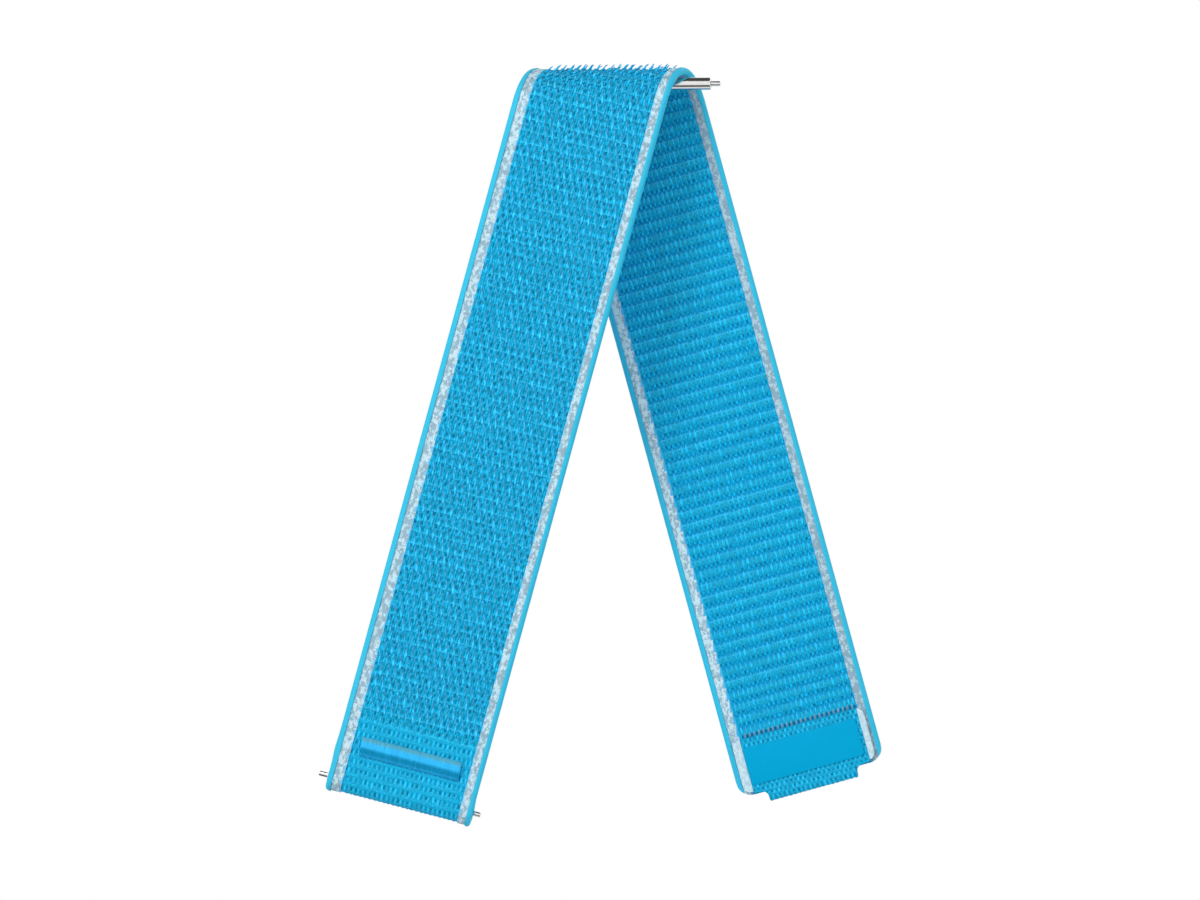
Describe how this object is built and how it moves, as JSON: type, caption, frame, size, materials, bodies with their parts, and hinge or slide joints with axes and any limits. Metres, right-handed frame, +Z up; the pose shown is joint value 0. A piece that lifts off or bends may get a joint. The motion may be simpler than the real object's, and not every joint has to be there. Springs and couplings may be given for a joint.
{
  "type": "watch strap",
  "caption": "Woven nylon watch strap folded over a loose spring bar, with a spring bar sewn in one end, reflective bands, loop pile, bare label panel and hook pad.",
  "frame": {"origin": "centre of the loose spring bar that the strap hangs on, on its axis", "axes": "+X along the loose bar towards its bare end, +Z up; the looped side of the front leg faces -Y"},
  "size_m": [0.0787, 0.0258, 0.1103],
  "materials": {
    "strap_weave": "plain knit with transverse ribs",
    "loop_pile": "raised loops in rows",
    "selvedge_yarn": "smooth close-woven edge",
    "reflective_yarn": "silver-grey reflective yarn",
    "sewing_thread": "glossy filament thread",
    "label_film": "smooth heat-pressed film",
    "hook_tape": "woven tape with small stiff hooks",
    "polished_steel": "polished stainless steel",
    "spring_steel": "drawn wire"
  },
  "bodies": {
    "loose_bar": {"loose_bar_tube": "polished_steel", "loose_bar_spring": "spring_steel"},
    "loose_tip_left": {"loose_bar_tip_left": "polished_steel"},
    "loose_tip_right": {"loose_bar_tip_right": "polished_steel"},
    "fold": {"fold_field": "strap_weave", "fold_pile": "loop_pile", "fold_selvedge_left": "selvedge_yarn", "fold_selvedge_right": "selvedge_yarn", "fold_reflective_left": "reflective_yarn", "fold_reflective_right": "reflective_yarn"},
    "front_leg": {"front_field": "strap_weave", "front_pile": "loop_pile", "front_selvedge_left": "selvedge_yarn", "front_selvedge_right": "selvedge_yarn", "front_reflective_left": "reflective_yarn", "front_reflective_right": "reflective_yarn", "loop_field": "strap_weave", "loop_selvedge_left": "selvedge_yarn", "loop_selvedge_right": "selvedge_yarn", "loop_reflective_left": "reflective_yarn", "loop_reflective_right": "reflective_yarn", "loop_bar_tack": "sewing_thread"},
    "rear_leg": {"rear_field": "strap_weave", "rear_pile": "loop_pile", "rear_selvedge_left": "selvedge_yarn", "rear_selvedge_right": "selvedge_yarn", "rear_reflective_left": "reflective_yarn", "rear_reflective_right": "reflective_yarn", "tail_turned_back": "strap_weave", "tail_reflective_left": "reflective_yarn", "tail_reflective_right": "reflective_yarn", "tail_stitch_row": "sewing_thread", "tail_label_panel": "label_film", "tail_hook_pad": "hook_tape"},
    "sewn_bar": {"sewn_bar_tube": "polished_steel", "sewn_bar_spring": "spring_steel"},
    "sewn_tip_left": {"sewn_bar_tip_left": "polished_steel"},
    "sewn_tip_right": {"sewn_bar_tip_right": "polished_steel"}
  },
  "joints": [
    {"name": "strap_slide", "type": "slide", "parent": "loose_bar", "child": "fold", "axis": [1, 0, 0], "range_m": [-0.0049, 0.0131]},
    {"name": "front_swing", "type": "hinge", "parent": "fold", "child": "front_leg", "pos_m": [-0.0041, 0, -0.0032], "axis": [-1, 0, 0], "range_deg": [-8, 45], "stiffness_Nm_per_rad": 0.002, "springref_deg": 5.16, "deforming": ["fold_field", "fold_pile", "fold_selvedge_left", "fold_selvedge_right", "fold_reflective_left", "fold_reflective_right"]},
    {"name": "rear_swing", "type": "hinge", "parent": "fold", "child": "rear_leg", "pos_m": [-0.0041, 0, -0.0032], "axis": [1, 0, 0], "range_deg": [-8, 45], "stiffness_Nm_per_rad": 0.002, "springref_deg": 5.16, "deforming": ["fold_field", "fold_pile", "fold_selvedge_left", "fold_selvedge_right", "fold_reflective_left", "fold_reflective_right"]},
    {"name": "sewn_bar_spin", "type": "hinge", "parent": "front_leg", "child": "sewn_bar", "pos_m": [-0.03297, -0.01062, -0.10305], "axis": [0.9668, -0.0183, -0.2548], "continuous": true},
    {"name": "loose_tip_left_press", "type": "slide", "parent": "loose_bar", "child": "loose_tip_left", "axis": [1, 0, 0], "range_m": [0, 0.0012], "stiffness_N_per_m": 600, "springref_m": -0.0004, "deforming": ["loose_bar_spring"]},
    {"name": "loose_tip_right_press", "type": "slide", "parent": "loose_bar", "child": "loose_tip_right", "axis": [-1, 0, 0], "range_m": [0, 0.0012], "stiffness_N_per_m": 600, "springref_m": -0.0004, "deforming": ["loose_bar_spring"]},
    {"name": "sewn_tip_left_press", "type": "slide", "parent": "sewn_bar", "child": "sewn_tip_left", "axis": [0.9668, -0.0183, -0.2548], "range_m": [0, 0.0012], "stiffness_N_per_m": 600, "springref_m": -0.0004, "deforming": ["sewn_bar_spring"]},
    {"name": "sewn_tip_right_press", "type": "slide", "parent": "sewn_bar", "child": "sewn_tip_right", "axis": [-0.9668, 0.0183, 0.2548], "range_m": [0, 0.0012], "stiffness_N_per_m": 600, "springref_m": -0.0004, "deforming": ["sewn_bar_spring"]}
  ]
}
